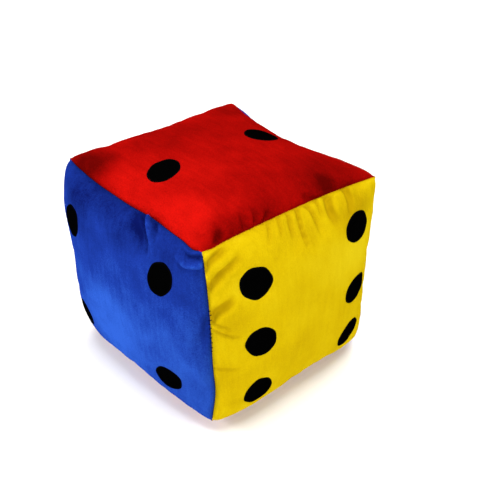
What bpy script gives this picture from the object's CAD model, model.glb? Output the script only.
"""A soft stuffed play die, sewn from six plush panels and standing on its five.

The panels are cut square, sewn along their edges, blown up by their stuffing in a cloth simulation and
pressed flat underneath. Everything else is laid on the surface that the simulation leaves: the folds
near the seams, the spots and their satin stitch, the seam threads and the hand-closed gap.
"""

import math

import bpy
import numpy as np
from mathutils import Matrix, Vector


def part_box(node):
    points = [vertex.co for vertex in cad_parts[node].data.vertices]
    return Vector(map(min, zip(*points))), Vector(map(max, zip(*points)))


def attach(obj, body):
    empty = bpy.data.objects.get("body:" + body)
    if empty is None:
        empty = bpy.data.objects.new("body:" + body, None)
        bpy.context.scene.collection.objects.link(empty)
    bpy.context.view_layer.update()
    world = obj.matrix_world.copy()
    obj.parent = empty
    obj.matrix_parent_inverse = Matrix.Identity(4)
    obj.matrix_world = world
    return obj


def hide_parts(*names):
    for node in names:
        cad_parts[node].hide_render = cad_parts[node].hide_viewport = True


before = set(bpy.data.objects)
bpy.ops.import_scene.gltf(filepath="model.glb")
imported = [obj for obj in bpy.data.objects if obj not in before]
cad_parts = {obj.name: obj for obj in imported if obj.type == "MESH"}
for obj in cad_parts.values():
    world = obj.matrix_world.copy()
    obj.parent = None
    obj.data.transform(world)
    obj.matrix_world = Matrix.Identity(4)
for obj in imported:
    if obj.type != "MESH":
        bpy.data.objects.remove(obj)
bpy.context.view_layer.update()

MM = 0.001

# ---------------------------------------------------------------- the sewn cube, from the frame

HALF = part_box("panel_two")[1].x  # half the distance from corner to corner
SIDE_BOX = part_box("panel_four")
CENTRE = np.array([0.0, 0.0, (SIDE_BOX[0].z + SIDE_BOX[1].z) / 2])
CUT = 190 * MM  # each panel's side between its seams, before it is stuffed
ALLOWANCE = 8 * MM  # the edge that is turned in behind each seam
CLOTH_THICK = 2 * MM  # backing and pile
ALLOWANCE_THICK = 0.9 * MM

# Each face: outward, and the two directions of its own grid
FACES = {
    "one": ((-1, 0, 0), (0, -1, 0), (0, 0, 1)),
    "two": ((0, 0, 1), (1, 0, 0), (0, 1, 0)),
    "three": ((0, 1, 0), (-1, 0, 0), (0, 0, 1)),
    "four": ((0, -1, 0), (1, 0, 0), (0, 0, 1)),
    "five": ((0, 0, -1), (1, 0, 0), (0, -1, 0)),
    "six": ((1, 0, 0), (0, 1, 0), (0, 0, 1)),
}

# How far the middle of each face stands out of its seams' plane, and how the swelling leans along the
# face's two directions, as shares of it
SWELL = {
    "one": 23 * MM,
    "two": 20 * MM,
    "three": 23 * MM,
    "four": 24.5 * MM,
    "five": 20 * MM,
    "six": 23.5 * MM,
}
LEAN = {"two": (0.08, 0.05), "four": (-0.33, 0.0), "six": (-0.09, -0.14)}
SWELL_ROUND = 3.1  # how far the swelling stays full towards the seams
SWELL_STEEP = 0.44  # how steeply it ends there

# Uneven stuffing pulls the corners out of the true cube, in millimetres
CORNER_PULL = {
    (-1, -1, -1): (-2, -0.5, 1.5),
    (-1, -1, 1): (-2, -2.5, -0.5),
    (-1, 1, 1): (-1, -1.5, -0.5),
    (1, -1, -1): (0, 5, 1.5),
    (1, -1, 1): (0.5, 0, 0.5),
    (1, 1, -1): (2.5, 0, -1.5),
    (1, 1, 1): (3, 0, -3.5),
    (-1, 1, -1): (0, 0, 0),
}

# and the middle of each seam off the straight line between its corners
SEAM_BOW = {
    ((-1, -1, -1), (-1, -1, 1)): (1.5, 4, 1.5),
    ((-1, -1, -1), (-1, 1, -1)): (2, 0, 2),
    ((-1, -1, -1), (1, -1, -1)): (-3, -1, 3),
    ((-1, -1, 1), (-1, 1, 1)): (2.5, -1, -4.5),
    ((-1, -1, 1), (1, -1, 1)): (0, -1, -3),
    ((-1, 1, -1), (-1, 1, 1)): (2, -2, 0),
    ((-1, 1, -1), (1, 1, -1)): (0, -2, 2),
    ((-1, 1, 1), (1, 1, 1)): (-4, -10, -7.5),
    ((1, -1, -1), (1, -1, 1)): (0.5, 3.5, -1.5),
    ((1, -1, -1), (1, 1, -1)): (-3.5, -0.5, 3),
    ((1, -1, 1), (1, 1, 1)): (-3.5, 1, 1),
    ((1, 1, -1), (1, 1, 1)): (-2, -3, -1),
}


# Shorter kinks in the seams that show: from and to which corner, the share of the way, the half length
# as a share, and the push in millimetres
SEAM_KINKS = [
    ((-1, -1, 1), (1, -1, 1), 0.2, 0.22, (0, -0.5, -1.8)),
    ((-1, -1, 1), (1, -1, 1), 0.68, 0.12, (0, 0.5, 2)),
    ((-1, -1, 1), (1, -1, 1), 0.94, 0.04, (0.5, -0.5, -2)),
    ((1, -1, 1), (1, 1, 1), 0.3, 0.35, (0, 0, -1.3)),
    ((1, -1, 1), (1, 1, 1), 0.06, 0.04, (0, 0, -1)),
    ((1, -1, -1), (1, -1, 1), 0.2, 0.12, (1.4, 1.4, 0)),
]


def corner(key):
    return CENTRE + HALF * np.array(key, float) + MM * np.array(CORNER_PULL[key])


def seam_line(start, end, share):
    """The points of a seam at these shares of the way from one corner to the other."""
    share = np.asarray(share)[..., None]
    bow = MM * np.array(SEAM_BOW[min((start, end), (end, start))], float)
    line = (1 - share) * corner(start) + share * corner(end) + 4 * share * (1 - share) * bow
    for first, last, at, reach, push in SEAM_KINKS:
        if {first, last} == {start, end}:
            along = share if first == start else 1 - share
            held = np.minimum(1, 20 * np.minimum(share, 1 - share))
            line = line + held * np.exp(-(((along - at) / reach) ** 2)) * MM * np.array(push)
    return line


def swelling(u, v):
    """How full a face is at a place on it, from 0 at the seams to 1 in the middle."""
    full = (1 - np.abs(u) ** SWELL_ROUND) * (1 - np.abs(v) ** SWELL_ROUND)
    return np.clip(full, 0, 1) ** SWELL_STEEP


def face_surface(name, u, v):
    """The stuffed surface of a face over its seams' four lines."""
    out, across, up = (np.array(d) for d in FACES[name])

    def key(su, sv):
        return tuple(int(x) for x in out + su * across + sv * up)

    a, b = (u[..., None] + 1) / 2, (v[..., None] + 1) / 2
    low = seam_line(key(-1, -1), key(1, -1), a[..., 0])
    high = seam_line(key(-1, 1), key(1, 1), a[..., 0])
    left = seam_line(key(-1, -1), key(-1, 1), b[..., 0])
    right = seam_line(key(1, -1), key(1, 1), b[..., 0])
    ruled = (1 - b) * low + b * high + (1 - a) * left + a * right
    twice = (1 - a) * ((1 - b) * corner(key(-1, -1)) + b * corner(key(-1, 1)))
    twice = twice + a * ((1 - b) * corner(key(1, -1)) + b * corner(key(1, 1)))
    lean = LEAN.get(name, (0, 0))
    rise = SWELL[name] * swelling(u, v) * (1 + lean[0] * u + lean[1] * v)
    return ruled - twice + rise[..., None] * out


def even_places(s, fullness):
    """Where on a face, from -1 to 1, the thread of cloth at share s lies: cloth is spread evenly along
    the surface, so it is crowded where the surface is steep, the more so the fuller that row is."""
    fine = np.sin(np.linspace(-math.pi / 2, math.pi / 2, 401))
    levels = np.linspace(0, 1, 21)
    found = []
    for level in levels:
        rise = SWELL["six"] * level * swelling(fine, 0 * fine)
        steps = np.hypot(HALF * np.diff(fine), np.diff(rise))
        along = np.concatenate([[0], np.cumsum(steps)])
        found.append(np.interp(s, 2 * along / along[-1] - 1, fine))
    place = np.clip(fullness, 0, 1) * (len(levels) - 1)
    below = np.minimum(place.astype(int), len(levels) - 2)
    rest = place - below
    found = np.array(found)
    rows = np.indices(s.shape)
    return (1 - rest) * found[(below, *rows)] + rest * found[(below + 1, *rows)]


def places_on_face(s, t):
    u, v = s, t
    for _ in range(6):
        u = even_places(s, swelling(0 * v, v))
        v = even_places(t, swelling(u, 0 * u))
    return u, v


# ---------------------------------------------------------------- sewing and stuffing

GRID = 56  # squares across each panel in the simulation
FRAMES = 24
MOST_EASE = 0.10
EASE_BAND = 34 * MM  # how far the loose cloth reaches from its seam
EASE = 0.012  # cloth that every seam gathers, as a share of its length
# The seams that gather more, by panel and side, as (share, middle of the stretch, its half length)
GATHERS = {
    ("six", "high"): (0.05, 0.0, 0.95),
    ("six", "left"): (0.03, -0.1, 0.8),
    ("four", "high"): (0.025, 0.1, 0.6),
    ("four", "right"): (0.02, 0.5, 0.6),
    ("two", "right"): (0.02, -0.5, 0.6),
    ("one", "high"): (0.05, 0.2, 0.7),
    ("one", "right"): (0.03, 0.0, 0.7),
    ("three", "high"): (0.04, -0.2, 0.8),
    ("three", "left"): (0.045, 0.3, 0.6),
}
MOST_SHIFT = 5 * MM


def unit(vectors):
    return vectors / np.linalg.norm(vectors, axis=-1, keepdims=True)


def smooth(x):
    x = np.clip(x, 0, 1)
    return x * x * (3 - 2 * x)


def lattice(name, count):
    """The whole-number places of a face's grid points on a cube of count squares a side."""
    out, across, up = (np.array(d) for d in FACES[name])
    i, j = np.meshgrid(np.arange(count + 1), np.arange(count + 1), indexing="ij")
    at = (2 * i - count)[..., None] * across + (2 * j - count)[..., None] * up + count * out
    return (at + count) // 2


def grid_squares(index):
    """The squares of a grid of point numbers, seen from outside."""
    ring = [index[:-1, :-1], index[1:, :-1], index[1:, 1:], index[:-1, 1:]]
    return np.stack(ring, axis=-1).reshape(-1, 4)


def sewn_cube(count):
    """All six panels' grids, sewn together: each panel's point numbers, and each point's lattice place."""
    every = np.concatenate([lattice(name, count).reshape(-1, 3) for name in FACES])
    points, index = np.unique(every, axis=0, return_inverse=True)
    return dict(zip(FACES, index.reshape(len(FACES), count + 1, count + 1))), points


def from_sides(s, t):
    """Each side of a panel, with the distance of a place from it and the place's share along it."""
    half = CUT / 2
    return {
        "left": ((1 + s) * half, t),
        "right": ((1 - s) * half, t),
        "low": ((1 + t) * half, s),
        "high": ((1 - t) * half, s),
    }


def ease(name, s, t):
    """How much longer than its seams the cloth is at a place on a panel."""
    found = np.zeros_like(s)
    for side, (off, along) in from_sides(s, t).items():
        share, middle, reach = GATHERS.get((name, side), (EASE, 0, 1))
        stretch = 1 - smooth(np.abs(along - middle) / reach - 0.3)
        found = np.maximum(found, np.maximum(share * stretch, EASE) * (1 - smooth(off / EASE_BAND)))
    return found


def new_piece(name, points, polygons):
    mesh = bpy.data.meshes.new(name)
    mesh.from_pydata(points.tolist(), [], [p.tolist() for p in polygons])
    mesh.polygons.foreach_set("use_smooth", [True] * len(mesh.polygons))
    mesh.update()
    piece = bpy.data.objects.new(name, mesh)
    bpy.context.scene.collection.objects.link(piece)
    return piece


def stuff(start, squares, on_seam, loose):
    """Blows the sewn cloth up from inside, with its seams held, and returns where its points go."""
    cloth = new_piece("cloth", start, squares)
    held = cloth.vertex_groups.new(name="held")
    held.add(np.flatnonzero(on_seam).tolist(), 1.0, "REPLACE")
    tight = cloth.vertex_groups.new(name="tight")
    for number, share in enumerate(1 - loose / MOST_EASE):
        tight.add([number], float(share), "REPLACE")
    modifier = cloth.modifiers.new("Cloth", "CLOTH")
    fabric = modifier.settings
    fabric.quality = 5
    fabric.tension_stiffness = 40
    fabric.compression_stiffness = 40
    fabric.shear_stiffness = 8
    fabric.bending_stiffness = 0.4
    fabric.use_pressure = True
    fabric.uniform_pressure_force = 3
    fabric.vertex_group_mass = held.name
    fabric.vertex_group_shrink = tight.name
    fabric.shrink_min = -MOST_EASE
    fabric.shrink_max = 0
    fabric.effector_weights.gravity = 0
    modifier.point_cache.frame_start = 1
    modifier.point_cache.frame_end = FRAMES
    for number in range(1, FRAMES + 1):
        bpy.context.scene.frame_set(number)
    stuffed = cloth.evaluated_get(bpy.context.evaluated_depsgraph_get())
    points = np.array([v.co for v in stuffed.data.vertices])
    bpy.data.objects.remove(cloth)
    bpy.context.scene.frame_set(1)
    return points


def stuffed_panels():
    """Each panel's grid of points on the stuffed die."""
    line = np.linspace(-1, 1, GRID + 1)
    s, t = np.meshgrid(line, line, indexing="ij")
    u, v = places_on_face(s, t)
    index, places = sewn_cube(GRID)
    start = np.zeros((len(places), 3))
    loose = np.zeros(len(places))
    for name, numbers in index.items():
        start[numbers] = face_surface(name, u, v)
        loose[numbers] = np.maximum(loose[numbers], ease(name, s, t))
    on_seam = ((places == 0) | (places == GRID)).sum(axis=1) >= 2
    squares = np.concatenate([grid_squares(numbers) for numbers in index.values()])
    end = stuff(start, squares, on_seam, loose)
    shift = end - start
    length = np.linalg.norm(shift, axis=1, keepdims=True)
    end = start + shift / (1 + (length / MOST_SHIFT) ** 4) ** 0.25
    return {name: end[numbers] for name, numbers in index.items()}


PANELS = stuffed_panels()

# ---------------------------------------------------------------- places on the stuffed surface

SHARPEST_FLOOR = 0.8 * MM  # the die's weight rounds it off this softly where it meets the floor


def spline_weights(share, slope=False):
    """The four weights of a uniform cubic B-spline at a share of a square, or of its slope."""
    x = share
    if slope:
        found = [-((1 - x) ** 2) / 2, (3 * x * x - 4 * x) / 2, (-3 * x * x + 2 * x + 1) / 2, x * x / 2]
    else:
        found = [
            (1 - x) ** 3 / 6,
            (3 * x**3 - 6 * x * x + 4) / 6,
            (-3 * x**3 + 3 * x * x + 3 * x + 1) / 6,
            x**3 / 6,
        ]
    return np.stack(found, axis=-1)


def padded_grid(grid):
    """A grid with one more row all round, so that its spline ends on its own outer rows."""
    wide = np.concatenate([2 * grid[:1] - grid[1:2], grid, 2 * grid[-1:] - grid[-2:-1]])
    return np.concatenate([2 * wide[:, :1] - wide[:, 1:2], wide, 2 * wide[:, -1:] - wide[:, -2:-1]], axis=1)


NETS = {name: padded_grid(grid) for name, grid in PANELS.items()}


def surface(name, s, t):
    """The stuffed surface at any places of a panel, and its outward direction there."""
    at = [np.clip((np.asarray(x, float) + 1) / 2 * GRID, 0, GRID) for x in (s, t)]
    square = [np.minimum(x.astype(int), GRID - 1) for x in at]
    share = [x - k for x, k in zip(at, square)]
    near = np.arange(4)
    rows = square[0][..., None, None] + near[:, None]
    columns = square[1][..., None, None] + near[None, :]
    net = NETS[name][rows, columns]
    across, up = spline_weights(share[0]), spline_weights(share[1])
    point = np.einsum("...i,...j,...ijk->...k", across, up, net)
    ds = np.einsum("...i,...j,...ijk->...k", spline_weights(share[0], slope=True), up, net)
    dt = np.einsum("...i,...j,...ijk->...k", across, spline_weights(share[1], slope=True), net)
    normal = np.cross(ds, dt)
    return point, normal / np.linalg.norm(normal, axis=-1, keepdims=True), ds * GRID / 2, dt * GRID / 2


def find_places(name, points, across, up, s, t):
    """The places of a panel that lie straight above or below some points, seen along across x up."""
    for _ in range(8):
        here, _, ds, dt = surface(name, s, t)
        miss = points - here
        a, b = ds @ across, dt @ across
        c, d = ds @ up, dt @ up
        size = a * d - b * c
        x, y = miss @ across, miss @ up
        s = np.clip(s + (d * x - b * y) / size, -1, 1)
        t = np.clip(t + (a * y - c * x) / size, -1, 1)
    return s, t


# ---------------------------------------------------------------- the relief on that surface

GROOVE_DEEP = 1.3 * MM  # of the seams, below the panels' rolled edges
GROOVE_WIDE = 1.5 * MM
GROOVE_ENDS = 7 * MM  # it runs out this far from a corner
CORNER_DEEP = 1.0 * MM  # where three seams meet
CORNER_WIDE = 3 * MM
RELIEF_FADE = 3.5 * MM  # the relief dies away this close to a seam, where two panels have to meet
SPOT_RADIUS = 13 * MM
SPOT_PRESS = 0.35 * MM  # the spots' stitching pulls the pile down
SPOT_PRESS_WIDE = 2.2 * MM
FLOOR_PRESS = 0.8 * MM  # and on the five the floor pushes them in as well

# The folds that run in from a panel's seams: the panel, the side, and then in millimetres on the flat cloth
# where the fold starts along that side, how far it reaches in, how far it has drifted along the side by
# then, how far it bows, the half width and the depth; a fold with a negative depth is a ridge
FOLDS = [
    ("six", "top", 0, 40, 0, -4, 1.6, 2.7),
    ("six", "top", -10, 25, -5, 0, 1.6, 1.8),
    ("six", "top", 10, 30, 5, -1, 2.2, 2.1),
    ("six", "top", 35, 30, 0, -6, 3.8, 3.6),
    ("six", "top", 55, 25, -7, 0, 2.8, 2.7),
    ("six", "top", -20, 20, -7, 0, 1.5, 1.3),
    ("six", "top", -30, 20, -10, 0, 1.5, 1.1),
    ("six", "top", 20, 20, 0, 0, 1.5, 1.5),
    ("six", "left", 80, 25, 10, 4, 3.0, 2.7),
    ("six", "left", 60, 35, 20, 4, 3.2, 2.9),
    ("six", "left", 30, 25, 20, 4, 3.8, 3.2),
    ("six", "left", 20, 30, -10, 0, 1.4, 1.5),
    ("six", "left", 28, 20, -10, 2, 1.2, 1.1),
    ("six", "left", -25, 30, 0, 3, 1.4, 1.1),
    ("four", "top", 25, 35, 15, 5, 1.9, 3.0),
    ("four", "top", 30, 30, 18, 5, 1.9, -2.4),
    ("four", "top", 20, 35, 20, 0, 5.0, 2.3),
    ("four", "top", 38, 12, 10, 2, 2.2, 1.7),
    ("four", "right", 84, 30, 0, -5, 1.9, -3.0),
    ("four", "right", 90, 25, 0, -3, 2.4, 2.3),
    ("four", "right", 30, 12, -35, 0, 5.0, 1.9),
    ("two", "right", -80, 20, 15, 0, 4.0, 3.8),
    ("two", "right", -52, 20, 10, -2, 2.6, 2.4),
    ("two", "right", -42, 20, 10, 0, 2.2, 2.4),
    ("two", "right", -34, 10, 12, 0, 2.2, 1.9),
    ("two", "right", 40, 20, 0, -2, 6.0, 2.4),
    ("two", "right", 18, 10, -8, 0, 3.0, 1.4),
    ("two", "right", -88, 25, 10, 0, 3.0, 1.1),
    ("two", "bottom", -68, 15, -15, 4, 4.0, 1.3),
]

# The spots that are off their places or out of round: the place on the flat cloth, the longer and the
# shorter radius in millimetres, and the turn of the longer one in degrees
SPOT_SHAPES = {
    "spot_two_1": (-0.5, -49.5, 16.2, 12, 128),
    "spot_two_2": (-2, 56, 14, 12.5, 45),
    "spot_four_1": (51, -56, 14, 11.4, 28),
    "spot_four_2": (-60, -55, 13, 12, 88),
    "spot_four_3": (54, 52, 16.2, 10.6, 68),
    "spot_four_4": (-56.5, 51, 14.5, 11.4, 70),
    "spot_six_1": (59, -5, 13.8, 11.5, 28),
    "spot_six_2": (-54, 54, 13.8, 11.8, 140),
    "spot_six_3": (57, 57, 14.8, 12.6, 160),
    "spot_six_4": (58, -57, 14, 11.5, 51),
    "spot_six_5": (-53, -1, 14.4, 12, 134),
    "spot_six_6": (-55.5, -57, 13.3, 13, 100),
}


def spot_places():
    """Each panel's spots: node name, place on the panel, middle, and its longer and shorter radius."""
    found = {name: [] for name in FACES}
    for node in sorted(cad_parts):
        words = node.split("_")
        if words[0] != "spot" or not words[2].isdigit():
            continue
        name = words[1]
        _, across, up = (np.array(d, float) for d in FACES[name])
        middle = (np.array(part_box(node)[0]) + np.array(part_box(node)[1])) / 2 - CENTRE
        u, v = np.array([middle @ across]) / HALF, np.array([middle @ up]) / HALF
        s, t = find_places(name, face_surface(name, u, v), across, up, u, v)
        long, short, turn = SPOT_RADIUS, SPOT_RADIUS, 0
        if node in SPOT_SHAPES:
            x, y, long, short, turn = np.array(SPOT_SHAPES[node]) * (MM, MM, MM, MM, math.pi / 180)
            s, t = np.array([x, y])[:, None] / (CUT / 2)
        point, normal, ds, _ = surface(name, s, t)
        first = unit(ds[0] - (ds[0] @ normal[0]) * normal[0])
        second = np.cross(normal[0], first)
        longer = long * (math.cos(turn) * first + math.sin(turn) * second)
        shorter = short * (math.cos(turn) * second - math.sin(turn) * first)
        found[name].append((node, s[0], t[0], point[0], longer, shorter))
    return found


SPOTS = spot_places()

LUMP_WAVES = 40
LUMP_SIZES = (18 * MM, 45 * MM)
LUMP_HEIGHT = 0.13 * MM  # stuffing that shows through the cloth


def lumps(points):
    """A gentle unevenness, the same everywhere it is asked for at the same point."""
    random = np.random.default_rng(11)
    found = np.zeros(points.shape[:-1])
    for _ in range(LUMP_WAVES):
        direction = random.normal(size=3)
        size = random.uniform(*LUMP_SIZES)
        wave = direction / np.linalg.norm(direction) * 2 * math.pi / size
        found += np.cos(points @ wave + random.uniform(0, 2 * math.pi))
    return LUMP_HEIGHT * found / math.sqrt(LUMP_WAVES / 2)


RIDGE_HEIGHT = 0.4  # of the ridges beside a fold, as a share of its depth
RIDGE_PLACE = 1.9  # how far from the fold they lie, in its half widths
FOLD_POINTS = 41


def fold_line(side, begin, reach, drift, bow, share):
    """Points along a fold, in millimetres on the flat cloth."""
    along = begin + drift * share + 4 * bow * share * (1 - share)
    out = CUT / 2 / MM - reach * share
    places = {
        "top": (along, out),
        "bottom": (along, -out),
        "right": (out, along),
        "left": (-out, along),
    }
    return np.stack(places[side], axis=-1)


def fold_fade(along):
    """A fold is full over its first half and runs out over the second."""
    return smooth((1 - along) / 0.5)


def folds(name, s, t):
    """The folds' valleys, each with a low ridge on both sides."""
    place = np.stack([s, t], axis=-1) * CUT / 2 / MM
    found = np.zeros(s.shape)
    for panel, *route, width, depth in FOLDS:
        if panel != name:
            continue
        share = np.linspace(0, 1, FOLD_POINTS)
        line = fold_line(*route, share)
        off = np.linalg.norm(place[..., None, :] - line, axis=-1)
        nearest = off.argmin(axis=-1)
        x = off.min(axis=-1) / width
        profile = RIDGE_HEIGHT * np.exp(-((x - RIDGE_PLACE) ** 2)) - np.exp(-(x**2))
        found += depth * MM * fold_fade(share[nearest]) * profile
    return found


def shares_of_spot(offset, longer, shorter):
    """How far points are from a spot's middle along its two radii and its normal, the radii being 1."""
    normal = unit(np.cross(longer, shorter)) * SPOT_RADIUS
    return np.stack([offset @ d / (d @ d) for d in (longer, shorter, normal)], axis=-1)


def dimples(name, points):
    press = FLOOR_PRESS if name == "five" else SPOT_PRESS
    found = np.zeros(points.shape[:-1])
    for _, _, _, middle, longer, shorter in SPOTS[name]:
        off = SPOT_RADIUS * np.linalg.norm(shares_of_spot(points - middle, longer, shorter), axis=-1)
        ring = np.exp(-(((off - SPOT_RADIUS) / SPOT_PRESS_WIDE) ** 2))
        inside = smooth((SPOT_RADIUS - off) / SPOT_PRESS_WIDE)
        found -= press * np.maximum(ring, inside)
    return found


def seam_directions(name):
    """For each side of a panel, the direction of the panel next to it."""
    _, across, up = (np.array(d, float) for d in FACES[name])
    return {"left": -across, "right": across, "low": -up, "high": up}


def groove(name, s, t):
    """How the panels' edges roll down into their seams and corners."""
    out, across, up = (np.array(d, float) for d in FACES[name])
    diagonal = out + np.sign(s)[..., None] * across + np.sign(t)[..., None] * up
    corner_off = np.hypot(1 - np.abs(s), 1 - np.abs(t)) * CUT / 2
    found = -CORNER_DEEP / math.sqrt(3) * np.exp(-corner_off / CORNER_WIDE)[..., None] * diagonal
    nearest = {"left": np.abs(t), "right": np.abs(t), "low": np.abs(s), "high": np.abs(s)}
    neighbours = seam_directions(name)
    for side, (off, _) in from_sides(s, t).items():
        from_corner = (1 - nearest[side]) * CUT / 2
        deep = GROOVE_DEEP * np.exp(-off / GROOVE_WIDE) * smooth(from_corner / GROOVE_ENDS)
        found -= deep[..., None] * (out + neighbours[side]) / math.sqrt(2)
    return found


def settled(points):
    """The points, pressed up to the floor where they would hang below it."""
    found = points.copy()
    rounded = np.clip(points[..., 2] + SHARPEST_FLOOR, 0, 2 * SHARPEST_FLOOR) ** 2 / (4 * SHARPEST_FLOOR)
    found[..., 2] = np.where(points[..., 2] > SHARPEST_FLOOR, points[..., 2], rounded)
    return found


def skin(name, s, t, proud=0.0):
    """The panel's outer surface with all its relief, or a surface that stands proud of it."""
    point, normal, _, _ = surface(name, s, t)
    point = settled(point)
    rise = lumps(point) + folds(name, s, t) + dimples(name, point) + proud
    from_seam = smooth(np.minimum(1 - np.abs(s), 1 - np.abs(t)) * CUT / 2 / RELIEF_FADE)
    rise = rise * from_seam + proud * (1 - from_seam)
    found = point + rise[..., None] * normal + groove(name, s, t)
    found[..., 2] = np.maximum(found[..., 2], 0)
    return found, normal


# ---------------------------------------------------------------- the panels

FINE = 144  # squares across each panel
EDGE_CROWDING = 0.5  # how much the squares crowd towards the seams
INNER_MARGIN = 3.2 * MM  # the inside starts this far from the seam
FLANGE_DEPTHS = (0.7 * MM, 1.8 * MM, 3.5 * MM, 5.6 * MM, ALLOWANCE)
FLANGE_GAP = 0.06 * MM


def perimeter(count):
    """The grid places round the outside, seen from outside, starting at the low left corner."""
    run = np.arange(count)
    last = np.full(count, count)
    zero = np.zeros(count, int)
    return (
        np.concatenate([run, last, count - run, zero]),
        np.concatenate([zero, run, last, count - run]),
    )


def flange(name, s, t, seam, depth, shift):
    """The turned-in edge at some depth behind the seam, shifted towards its own panel."""
    out, across, up = (np.array(d, float) for d in FACES[name])
    beside = np.abs(s)[..., None] > 1 - 1e-9
    above = np.abs(t)[..., None] > 1 - 1e-9
    towards = out + s[..., None] * across + t[..., None] * up
    aside = out - (np.sign(s)[..., None] * across * beside + np.sign(t)[..., None] * up * above)
    aside = aside / np.linalg.norm(aside, axis=-1, keepdims=True)
    return seam - depth / math.sqrt(2) * towards + shift * aside


def band(lower, upper):
    """The squares between two closed loops of point numbers."""
    return np.stack([lower, upper, np.roll(upper, -1), np.roll(lower, -1)], axis=-1)


def make_panel(name):
    line = np.linspace(-1, 1, FINE + 1)
    line = (1 - EDGE_CROWDING) * line + EDGE_CROWDING * np.sin(line * math.pi / 2)
    s, t = np.meshgrid(line, line, indexing="ij")
    outside, _ = skin(name, s, t)
    shrink = 1 - INNER_MARGIN / (CUT / 2)
    inside, normal = skin(name, s * shrink, t * shrink)
    inside = inside - CLOTH_THICK * normal
    count = outside[..., 0].size
    index = np.arange(count).reshape(s.shape)
    around = perimeter(FINE)
    ring_s, ring_t, seam = s[around], t[around], outside[around]
    points = [outside.reshape(-1, 3), inside.reshape(-1, 3)]
    polygons = [grid_squares(index), grid_squares(index + count)[:, ::-1]]
    loops = [index[around]]
    start = 2 * count
    rows = [(depth, FLANGE_GAP) for depth in FLANGE_DEPTHS]
    rows += [(depth, FLANGE_GAP + ALLOWANCE_THICK) for depth in FLANGE_DEPTHS[:0:-1]]
    for depth, shift in rows:
        points.append(flange(name, ring_s, ring_t, seam, depth, shift))
        loops.append(start + np.arange(len(seam)))
        start += len(seam)
    loops.append(index[around] + count)
    polygons += [band(lower, upper) for lower, upper in zip(loops, loops[1:])]
    piece = new_piece(f"plush_{name}", np.concatenate(points), np.concatenate(polygons))
    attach(piece, "root")
    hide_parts(f"panel_{name}")
    return piece


panels = {name: make_panel(name) for name in FACES}


# ---------------------------------------------------------------- the spots and their satin stitch

FELT_PROUD = 0.35 * MM
FELT_SUNK = 0.35 * MM
FELT_ROUNDED = 0.5 * MM
SPOT_RINGS = 14
SPOT_SIDES = 96
CUT_WOBBLE = 0.16 * MM  # the spots are cut out by hand
STITCH_MIDDLE = 12.9 * MM  # radius of the satin stitch's band
STITCH_HALF = 1.0 * MM  # half its width
STITCH_PROUD = 0.55 * MM
STITCH_COUNT = 150
STITCH_STEPS = 4  # points along the band for each thread
STITCH_GAP = 0.09 * MM  # depth of the valley between two threads
STITCH_PROFILE = 7


def wobble(angle, seed):
    """The uneven outline of a hand-cut spot."""
    random = np.random.default_rng(seed)
    found = np.zeros_like(angle)
    for waves in (2, 3, 5, 7):
        found += random.uniform(0.4, 1) * np.cos(waves * angle + random.uniform(0, 2 * math.pi))
    return CUT_WOBBLE * found


def on_spot(name, spot, radius, angle, proud):
    """Points over the panel, at these polar places round a spot's middle."""
    _, s, t, middle, longer, shorter = spot
    flat = (radius * np.cos(angle))[..., None] * longer + (radius * np.sin(angle))[..., None] * shorter
    s, t = np.full(angle.shape, s), np.full(angle.shape, t)
    s, t = find_places(name, middle + flat / SPOT_RADIUS, unit(longer), unit(shorter), s, t)
    return skin(name, s, t, proud)[0]


def closed_grid(index):
    """The squares of a grid of point numbers whose second direction is a closed ring."""
    return grid_squares(np.concatenate([index, index[:, :1]], axis=1))


def make_spot(name, spot, seed):
    """A felt disc that follows the panel, rounded over at its cut edge."""
    turn = np.linspace(0, 2 * math.pi, SPOT_SIDES, endpoint=False)
    share = np.linspace(0, 1, SPOT_RINGS + 1)[1:] ** 0.8
    top = share * (SPOT_RADIUS - FELT_ROUNDED)
    bend = np.linspace(0, math.pi / 2, 5)[1:]
    edge = SPOT_RADIUS - FELT_ROUNDED * (1 - np.sin(bend))
    fall = FELT_PROUD - FELT_ROUNDED * (1 - np.cos(bend))
    radius = np.concatenate([top, edge, [SPOT_RADIUS, *(0.97 * top[::-3])]])
    under = np.full(radius.size - top.size - edge.size, -FELT_SUNK)
    proud = np.concatenate([top * 0 + FELT_PROUD, fall, under])
    angle, radius = np.meshgrid(turn, radius)
    radius = radius * (1 + wobble(angle, seed) / SPOT_RADIUS)
    rings = on_spot(name, spot, radius, angle, proud[:, None])
    middle = on_spot(name, spot, np.zeros(2), np.zeros(2), np.array([FELT_PROUD, -FELT_SUNK]))
    index = np.arange(angle.size).reshape(angle.shape)
    fans = [(a, b, angle.size) for a, b in zip(index[0], np.roll(index[0], -1))]
    fans += [(b, a, angle.size + 1) for a, b in zip(index[-1], np.roll(index[-1], -1))]
    polygons = [*closed_grid(index), *np.array(fans)]
    return new_piece(spot[0] + "_felt", np.concatenate([rings.reshape(-1, 3), middle]), polygons)


def make_spot_stitching(name):
    """Satin stitch over the cut edge of every spot on a panel, as one piece."""
    turn = np.linspace(0, 2 * math.pi, STITCH_COUNT * STITCH_STEPS, endpoint=False)
    bow = np.linspace(0, math.pi, STITCH_PROFILE)
    points, polygons = [], []
    for number, spot in enumerate(SPOTS[name]):
        angle, over = np.meshgrid(turn, bow)
        thread = np.abs(np.cos(angle * STITCH_COUNT / 2))
        radius = STITCH_MIDDLE - STITCH_HALF * np.cos(over) + wobble(angle, spot_seed(name, number))
        proud = STITCH_PROUD * np.sin(over) ** 0.7 - STITCH_GAP * (1 - thread) - 0.12 * MM
        rings = on_spot(name, spot, radius, angle, proud)
        start = sum(len(p) for p in points)
        index = start + np.arange(angle.size).reshape(angle.shape)
        points.append(rings.reshape(-1, 3))
        polygons.append(closed_grid(np.concatenate([index, index[:1]])))
    return new_piece(f"satin_stitch_{name}", np.concatenate(points), np.concatenate(polygons))


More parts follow.
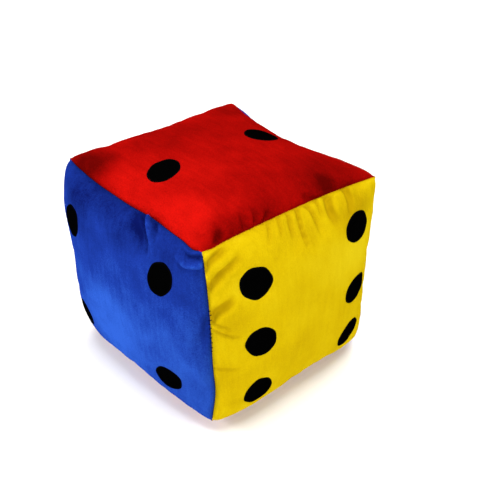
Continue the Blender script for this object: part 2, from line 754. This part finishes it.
def spot_seed(name, number):
    return 10 * list(FACES).index(name) + number


spots, stitching = {}, {}
for name in FACES:
    spots[name] = []
    for number, spot in enumerate(SPOTS[name]):
        felt = make_spot(name, spot, spot_seed(name, number))
        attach(felt, "root")
        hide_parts(spot[0])
        spots[name].append(felt)
    stitching[name] = make_spot_stitching(name)
    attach(stitching[name], "root")
    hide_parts(f"spot_stitching_{name}")


# ---------------------------------------------------------------- the threads

THREAD_RADIUS = 0.36 * MM
THREAD_SIDES = 8
STITCH_LENGTH = 3.2 * MM
STITCH_POINTS = 8
STITCH_DIP = 0.3 * MM  # the thread sinks this far into each needle hole
THREAD_PROUD = 0.05 * MM  # of the bottom of the seam's groove
THREAD_ENDS = 4 * MM
CLOSING_RADIUS = 0.3 * MM
CLOSING_GRIP = 1.0 * MM  # how far a hand stitch reaches from the seam on each side
CLOSING_SLANT = 1.1 * MM
CLOSING_COUNT = 10
HAND_SEWN = ("four", "six")


def tube(path, radius, out):
    """The rings and squares of a round thread along a path; out is any direction across it."""
    along = unit(np.gradient(path, axis=0))
    side = unit(np.cross(along, out))
    over = np.cross(side, along)
    turn = np.linspace(0, 2 * math.pi, THREAD_SIDES, endpoint=False)
    ring = np.cos(turn)[:, None] * side[:, None] + np.sin(turn)[:, None] * over[:, None]
    points = (path[:, None] + radius * ring).reshape(-1, 3)
    index = np.arange(len(points)).reshape(len(path), THREAD_SIDES)
    return points, [*closed_grid(index), index[0][::-1], index[-1]]


def joined(name, tubes):
    points, polygons, start = [], [], 0
    for tube_points, tube_polygons in tubes:
        points.append(tube_points)
        polygons += [polygon + start for polygon in tube_polygons]
        start += len(tube_points)
    return new_piece(name, np.concatenate(points), polygons)


def side_between(name, neighbour):
    """The side of a panel where it is sewn to a neighbour."""
    for side, direction in seam_directions(name).items():
        if direction @ np.array(FACES[neighbour][0]) > 0:
            return side


def on_side(side, along, off=0.0):
    """The places of a panel at shares along one of its sides, some way in from it."""
    edge = np.full_like(along, 1 - off / (CUT / 2))
    places = {
        "left": (-edge, along),
        "right": (edge, along),
        "low": (along, -edge),
        "high": (along, edge),
    }
    return places[side]


def seam_stitches(name, neighbour, low, high):
    """A run of lockstitch in the groove between two panels."""
    count = max(2, round((high - low) * CUT / 2 / STITCH_LENGTH))
    along = np.linspace(low, high, count * STITCH_POINTS + 1)
    line, _ = skin(name, *on_side(side_between(name, neighbour), along))
    out = unit(np.array(FACES[name][0], float) + np.array(FACES[neighbour][0], float))
    holes = np.cos(np.linspace(0, count * math.pi, len(along))) ** 8
    line = line + (THREAD_PROUD - STITCH_DIP * holes)[:, None] * out
    return tube(line, THREAD_RADIUS, out)


def make_seam_thread(name, neighbour):
    end = 1 - THREAD_ENDS / (CUT / 2)
    runs = [(-end, end)]
    if (name, neighbour) == HAND_SEWN:
        low, high = (np.array(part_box("closing_stitches")) - CENTRE)[:, 2] / HALF
        runs = [(-end, low), (high, end)]
    piece = joined(f"lockstitch_{name}_{neighbour}", [seam_stitches(name, neighbour, *run) for run in runs])
    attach(piece, "root")
    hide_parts(f"seam_thread_{name}_{neighbour}")
    return piece


def make_closing_stitches():
    """Slanted hand stitches that draw the two panels together where the stuffing went in."""
    low, high = (np.array(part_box("closing_stitches")) - CENTRE)[:, 2] / HALF
    name, neighbour = HAND_SEWN
    out = unit(np.array(FACES[name][0], float) + np.array(FACES[neighbour][0], float))
    random = np.random.default_rng(5)
    tubes = []
    pitch = (high - low) / CLOSING_COUNT
    for number in range(CLOSING_COUNT):
        middle = low + pitch * (number + 0.5 + random.uniform(-0.14, 0.14))
        ends = []
        for panel, other, turn in ((name, neighbour, -1), (neighbour, name, 1)):
            along = np.full(2, middle + turn * CLOSING_SLANT * random.uniform(0.6, 1.3) / CUT)
            grip = CLOSING_GRIP * random.uniform(0.8, 1.2) * np.array([1.15, 1.0])
            places = on_side(side_between(panel, other), along, grip)
            ends.append(skin(panel, *places, np.array([-0.7, 0.3]) * MM)[0])
        path = np.concatenate([ends[0], [(ends[0][1] + ends[1][1]) / 2 + 0.1 * MM * out], ends[1][::-1]])
        for _ in range(3):
            cut = np.stack([0.75 * path[:-1] + 0.25 * path[1:], 0.25 * path[:-1] + 0.75 * path[1:]], axis=1)
            path = np.concatenate([path[:1], cut.reshape(-1, 3), path[-1:]])
        tubes.append(tube(path, CLOSING_RADIUS, out))
    piece = joined("ladder_stitches", tubes)
    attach(piece, "root")
    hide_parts("closing_stitches")
    return piece


seam_threads = []
for node in sorted(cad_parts):
    words = node.split("_")
    if words[:2] == ["seam", "thread"]:
        seam_threads.append(make_seam_thread(*words[2:]))
closing = make_closing_stitches()

# ---------------------------------------------------------------- the stuffing

STUFFING_GRID = 48
STUFFING_GAP = 0.5 * MM
STUFFING_RETREAT = 10 * MM  # loose fibre doesn't fill the seams' corners
STUFFING_RETREAT_WIDE = 6 * MM
TUFT = 1.2 * MM


def make_stuffing():
    line = np.linspace(-1, 1, STUFFING_GRID + 1)
    s, t = np.meshgrid(line, line, indexing="ij")
    index, places = sewn_cube(STUFFING_GRID)
    total, count = np.zeros((len(places), 3)), np.zeros(len(places))
    for name, numbers in index.items():
        point, normal, _, _ = surface(name, s, t)
        point = skin(name, s, t)[0] - (CLOTH_THICK + STUFFING_GAP) * normal
        for side, (off, _) in from_sides(s, t).items():
            away = unit(np.array(FACES[name][0], float) + seam_directions(name)[side])
            point = point - STUFFING_RETREAT * np.exp(-off / STUFFING_RETREAT_WIDE)[..., None] * away
        tufts = TUFT * (1 + np.clip(lumps(point * 4) / LUMP_HEIGHT, -1, 1)) / 2
        np.add.at(total, numbers, point - tufts[..., None] * normal)
        np.add.at(count, numbers, 1)
    squares = np.concatenate([grid_squares(numbers) for numbers in index.values()])
    piece = new_piece("fibre_filling", total / count[:, None], squares)
    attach(piece, "root")
    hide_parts("stuffing")
    return piece


filling = make_stuffing()

# ---------------------------------------------------------------- the materials


def linear(*levels):
    """A colour from its screen levels, 0 to 255."""
    shares = [level / 255 for level in levels]
    return (*[x / 12.92 if x < 0.04 else ((x + 0.055) / 1.055) ** 2.4 for x in shares], 1)


class Surface:
    """A material under construction: a Principled surface and the procedural patterns that feed it."""

    def __init__(self, name):
        self.material = bpy.data.materials.new(name)
        self.material.use_nodes = True
        self.nodes = self.material.node_tree.nodes
        self.links = self.material.node_tree.links
        self.shader = self.nodes["Principled BSDF"]
        self.place = self.nodes.new("ShaderNodeTexCoord").outputs["Object"]

    def set(self, **values):
        for name, value in values.items():
            self.shader.inputs[name.replace("_", " ")].default_value = value

    def stretched(self, stretch):
        """The object's own coordinates, scaled along X, Y and Z."""
        node = self.nodes.new("ShaderNodeVectorMath")
        node.operation = "MULTIPLY"
        node.inputs[1].default_value = stretch
        self.links.new(self.place, node.inputs[0])
        return node.outputs[0]

    def noise(self, size, detail=2.0, stretch=(1, 1, 1)):
        """Noise from 0 to 1 with features about this size, in metres."""
        node = self.nodes.new("ShaderNodeTexNoise")
        node.inputs["Scale"].default_value = 1 / size
        node.inputs["Detail"].default_value = detail
        self.links.new(self.stretched(stretch), node.inputs["Vector"])
        return node.outputs["Fac"]

    def arithmetic(self, operation, first, second, third=0.0):
        node = self.nodes.new("ShaderNodeMath")
        node.operation = operation
        for socket, value in zip(node.inputs, (first, second, third)):
            if isinstance(value, (int, float)):
                socket.default_value = value
            else:
                self.links.new(value, socket)
        return node.outputs[0]

    def added(self, total, pattern, amount):
        """The total with a pattern, which is about its own middle of a half, added to it."""
        return self.arithmetic("ADD", total, self.arithmetic("MULTIPLY_ADD", pattern, amount, -amount / 2))

    def patch(self, total, centre, radius, amount):
        """The total, raised by some amount round a point and less and less towards a radius."""
        off = self.nodes.new("ShaderNodeVectorMath")
        off.operation = "DISTANCE"
        off.inputs[1].default_value = centre
        self.links.new(self.place, off.inputs[0])
        near = self.nodes.new("ShaderNodeMapRange")
        near.interpolation_type = "SMOOTHERSTEP"
        near.inputs["From Min"].default_value = 0
        near.inputs["From Max"].default_value = radius
        near.inputs["To Min"].default_value = amount
        near.inputs["To Max"].default_value = 0
        self.links.new(off.outputs["Value"], near.inputs["Value"])
        return self.arithmetic("ADD", total, near.outputs["Result"])

    def coloured(self, total, *colours):
        """The surface's colour, by a pattern from 0 to 1, from evenly spaced colours."""
        ramp = self.nodes.new("ShaderNodeValToRGB")
        stops = ramp.color_ramp.elements
        stops[0].color, stops[1].color = colours[0], colours[-1]
        for number, colour in enumerate(colours[1:-1], 1):
            stops.new(number / (len(colours) - 1)).color = colour
        self.links.new(total, ramp.inputs["Fac"])
        self.links.new(ramp.outputs["Color"], self.shader.inputs["Base Color"])
        return ramp.outputs["Color"]

    def bumped(self, pattern, height):
        """Tiny relief, this many metres high."""
        node = self.nodes.new("ShaderNodeBump")
        node.inputs["Distance"].default_value = height
        self.links.new(pattern, node.inputs["Height"])
        self.links.new(node.outputs["Normal"], self.shader.inputs["Normal"])


PILE_SIZE = 1.1 * MM
PILE_HEIGHT = 0.35 * MM
STREAK_SIZE = 3.5 * MM
STREAK_LONG = 0.16  # streaks of brushed pile are this much denser across than along
MOTTLE_SIZE = 26 * MM
BRUSHED = {"x": (STREAK_LONG, 1, 1), "y": (1, STREAK_LONG, 1), "z": (1, 1, STREAK_LONG)}

# Each plush's dark, usual and light colour, as screen levels
PLUSH_COLOURS = {
    "plush_red": ((84, 3, 2), (138, 6, 4), (180, 14, 8)),
    "plush_blue": ((7, 17, 78), (21, 46, 132), (40, 82, 178)),
    "plush_yellow": ((170, 138, 4), (196, 166, 6), (212, 188, 22)),
}
# Where the pile is brushed lighter or darker: the place in millimetres, how wide, how much
PATCHES = {
    "plush_red": [
        (-64, -86, 192, 36, -0.6),
        (-8, -82, 194, 60, 0.28),
        (53, -79, 196, 55, 0.42),
        (85, -61, 193, 26, -0.3),
        (83, -26, 192, 26, -0.15),
        (20, -30, 200, 50, 0.15),
        (81, 43, 194, 50, -0.3),
        (-63, 61, 194, 30, -0.25),
        (-48, -17, 198, 50, -0.12),
    ],
    "plush_blue": [
        (-46, -98, 183, 60, -0.4),
        (9, -99, 180, 42, -0.35),
        (31, -99, 179, 26, -0.15),
        (66, -94, 183, 40, -0.25),
        (-8, -108, 62, 80, 0.52),
        (62, -105, 95, 55, 0.2),
        (74, -93, 45, 55, 0.3),
    ],
    "plush_yellow": [
        (94, -80, 65, 36, -0.3),
        (102, -75, 127, 28, -0.2),
        (104, 49, 136, 48, 0.35),
        (109, -7, 63, 40, -0.15),
        (95, -10, 185, 45, -0.2),
        (100, 52, 168, 34, -0.5),
    ],
}


# How much a millimetre of a fold's depth darkens the pile that parts in it
FOLD_SHADES = {"plush_red": 0.045, "plush_blue": 0.08, "plush_yellow": 0.16}
FOLD_PATCHES = np.linspace(0.05, 0.75, 5)  # their places along each fold
FOLD_PATCH_GROWTH = 1.5  # their radius follows the fold's half width by this much
FOLD_PATCH_LEAST = 2.5  # and is never less than this, in millimetres


def fold_patches(name, slot):
    """Darker pile along the panel's folds and lighter pile along its ridges."""
    found = []
    for panel, *route, width, depth in FOLDS:
        if panel == name:
            s, t = fold_line(*route, FOLD_PATCHES).T * MM / (CUT / 2)
            points, _ = skin(name, s, t)
            radius = FOLD_PATCH_GROWTH * width + FOLD_PATCH_LEAST
            amounts = -FOLD_SHADES[slot] * depth * fold_fade(FOLD_PATCHES)
            found += [(*point / MM, radius, amount) for point, amount in zip(points, amounts)]
    return found


def plush(name, slot, brushed):
    """Short soft pile, brushed along one direction."""
    made = Surface(f"{slot}_{name}")
    total = made.added(0.5, made.noise(MOTTLE_SIZE, 3), 0.55)
    total = made.added(total, made.noise(STREAK_SIZE, 3, BRUSHED[brushed]), 0.30)
    pile = made.noise(PILE_SIZE, 2)
    total = made.added(total, pile, 0.45)
    for x, y, z, radius, amount in [*PATCHES[slot], *fold_patches(name, slot)]:
        total = made.patch(total, (x * MM, y * MM, z * MM), float(radius * MM), float(amount))
    colours = [linear(*levels) for levels in PLUSH_COLOURS[slot]]
    made.coloured(total, *colours)
    made.bumped(pile, PILE_HEIGHT)
    made.set(Roughness=0.95, Specular_IOR_Level=0.0)
    made.set(Sheen_Weight=0.25, Sheen_Roughness=0.4, Sheen_Tint=colours[-1])
    return made.material


def felt(name):
    """Black acrylic felt, with a few paler fibres."""
    made = Surface(name)
    fibres = made.noise(0.7 * MM, 3)
    total = made.added(0.4, fibres, 1.0)
    made.coloured(total, linear(0, 0, 0), linear(2, 2, 2), linear(9, 8, 9))
    made.bumped(fibres, 0.12 * MM)
    made.set(Roughness=0.95, Specular_IOR_Level=0.0)
    return made.material


def twisted_thread(name, dark, light, shine):
    """Sewing thread whose twist shows as fine stripes."""
    made = Surface(name)
    twist = made.noise(0.3 * MM, 1)
    made.coloured(made.added(0.5, twist, 1.2), linear(*dark), linear(*light))
    made.bumped(twist, 0.05 * MM)
    made.set(Roughness=0.6, Specular_IOR_Level=shine)
    return made.material


def fibre(name):
    """White polyester fibre."""
    made = Surface(name)
    wisps = made.noise(2.5 * MM, 4)
    colours = linear(205, 205, 200), linear(240, 240, 236), linear(252, 252, 250)
    made.coloured(made.added(0.5, wisps, 1.4), *colours)
    made.bumped(wisps, 0.8 * MM)
    made.set(Roughness=0.9, Specular_IOR_Level=0.2)
    return made.material


def table_top(name):
    """The white floor of a studio."""
    made = Surface(name)
    made.coloured(made.noise(60 * MM, 3), linear(252, 252, 252), linear(254, 254, 254))
    made.set(Roughness=0.8, Specular_IOR_Level=0.1)
    return made.material


def finish_with(piece, material):
    piece.data.materials.append(material)


PANEL_FINISH = {
    "one": ("plush_yellow", "z"),
    "two": ("plush_red", "x"),
    "three": ("plush_blue", "z"),
    "four": ("plush_blue", "z"),
    "five": ("plush_red", "x"),
    "six": ("plush_yellow", "z"),
}
black_felt = felt("black_felt")
black_thread = twisted_thread("black_satin_thread", (0, 0, 0), (7, 7, 8), 0.0)
navy_thread = twisted_thread("navy_thread", (3, 3, 8), (20, 20, 36), 0.0)
gold_thread = twisted_thread("gold_thread", (150, 92, 4), (206, 150, 16), 0.0)
for name, (slot, brushed) in PANEL_FINISH.items():
    finish_with(panels[name], plush(name, slot, brushed))
    finish_with(stitching[name], black_thread)
    for felt_spot in spots[name]:
        finish_with(felt_spot, black_felt)
for thread in [*seam_threads, closing]:
    slots = {slot for name, (slot, _) in PANEL_FINISH.items() if name in thread.name.split("_")}
    warm = slots == {"plush_red", "plush_yellow"}
    finish_with(thread, gold_thread if warm else navy_thread)
finish_with(filling, fibre("fibre_filling"))

# ---------------------------------------------------------------- cloth sizes

# ---------------------------------------------------------------- the studio

FLOOR_HALF = 4.0
floor_mesh = bpy.data.meshes.new("floor")
floor_corners = [(-1, -1), (1, -1), (1, 1), (-1, 1)]
floor_mesh.from_pydata([(x * FLOOR_HALF, y * FLOOR_HALF, 0) for x, y in floor_corners], [], [(0, 1, 2, 3)])
floor = bpy.data.objects.new("floor", floor_mesh)
bpy.context.scene.collection.objects.link(floor)
floor_mesh.materials.append(table_top("white_floor"))


def soft_light(name, place, size, power, target=CENTRE):
    """A square light that faces the die or another target."""
    lamp = bpy.data.lights.new(name, "AREA")
    lamp.energy = power
    lamp.size = size
    light = bpy.data.objects.new(name, lamp)
    bpy.context.scene.collection.objects.link(light)
    light.location = place
    light.rotation_mode = "QUATERNION"
    light.rotation_quaternion = (Vector(place) - Vector(target)).to_track_quat("Z", "Y")


soft_light("overhead_light", (0.25, -0.05, 1.7), 0.9, 25)
soft_light("left_light", (-1.4, -1.35, 0.7), 0.5, 31)
soft_light("front_light", (1.0, -1.25, 0.9), 0.5, 15.5)
soft_light("right_light", (1.5, 1.2, 0.8), 0.6, 7)
soft_light("far_light", (-1.6, 2.2, 1.9), 1.5, 60, (-1.6, 2.2, 0))

world = bpy.data.worlds.new("studio")
world.use_nodes = True
world.node_tree.nodes["Background"].inputs["Color"].default_value = (1, 1, 1, 1)
world.node_tree.nodes["Background"].inputs["Strength"].default_value = 0.22
bpy.context.scene.world = world
bpy.context.scene.view_settings.view_transform = "Standard"

# ---------------------------------------------------------------- the camera

AZIMUTH = math.radians(49.67)
ELEVATION = math.radians(34.88)
ROLL = math.radians(0.35)
DISTANCE = 0.611
LENS = 51.25
ASIDE = (0.0159, 0.0097)  # the camera stands this far right of and above the line to the die's middle


def place_camera():
    level = math.cos(ELEVATION)
    back = Vector((math.sin(AZIMUTH) * level, -math.cos(AZIMUTH) * level, math.sin(ELEVATION)))
    right = Vector((0, 0, 1)).cross(back).normalized()
    above = back.cross(right)
    tilted_right = right * math.cos(ROLL) + above * math.sin(ROLL)
    tilted_above = above * math.cos(ROLL) - right * math.sin(ROLL)
    camera = bpy.data.objects.new("camera", bpy.data.cameras.new("camera"))
    bpy.context.scene.collection.objects.link(camera)
    camera.data.lens = LENS
    turned = Matrix((tilted_right, tilted_above, back)).transposed().to_4x4()
    place = Vector(CENTRE) + back * DISTANCE + tilted_right * ASIDE[0] + tilted_above * ASIDE[1]
    camera.matrix_world = Matrix.Translation(place) @ turned
    bpy.context.scene.camera = camera


place_camera()
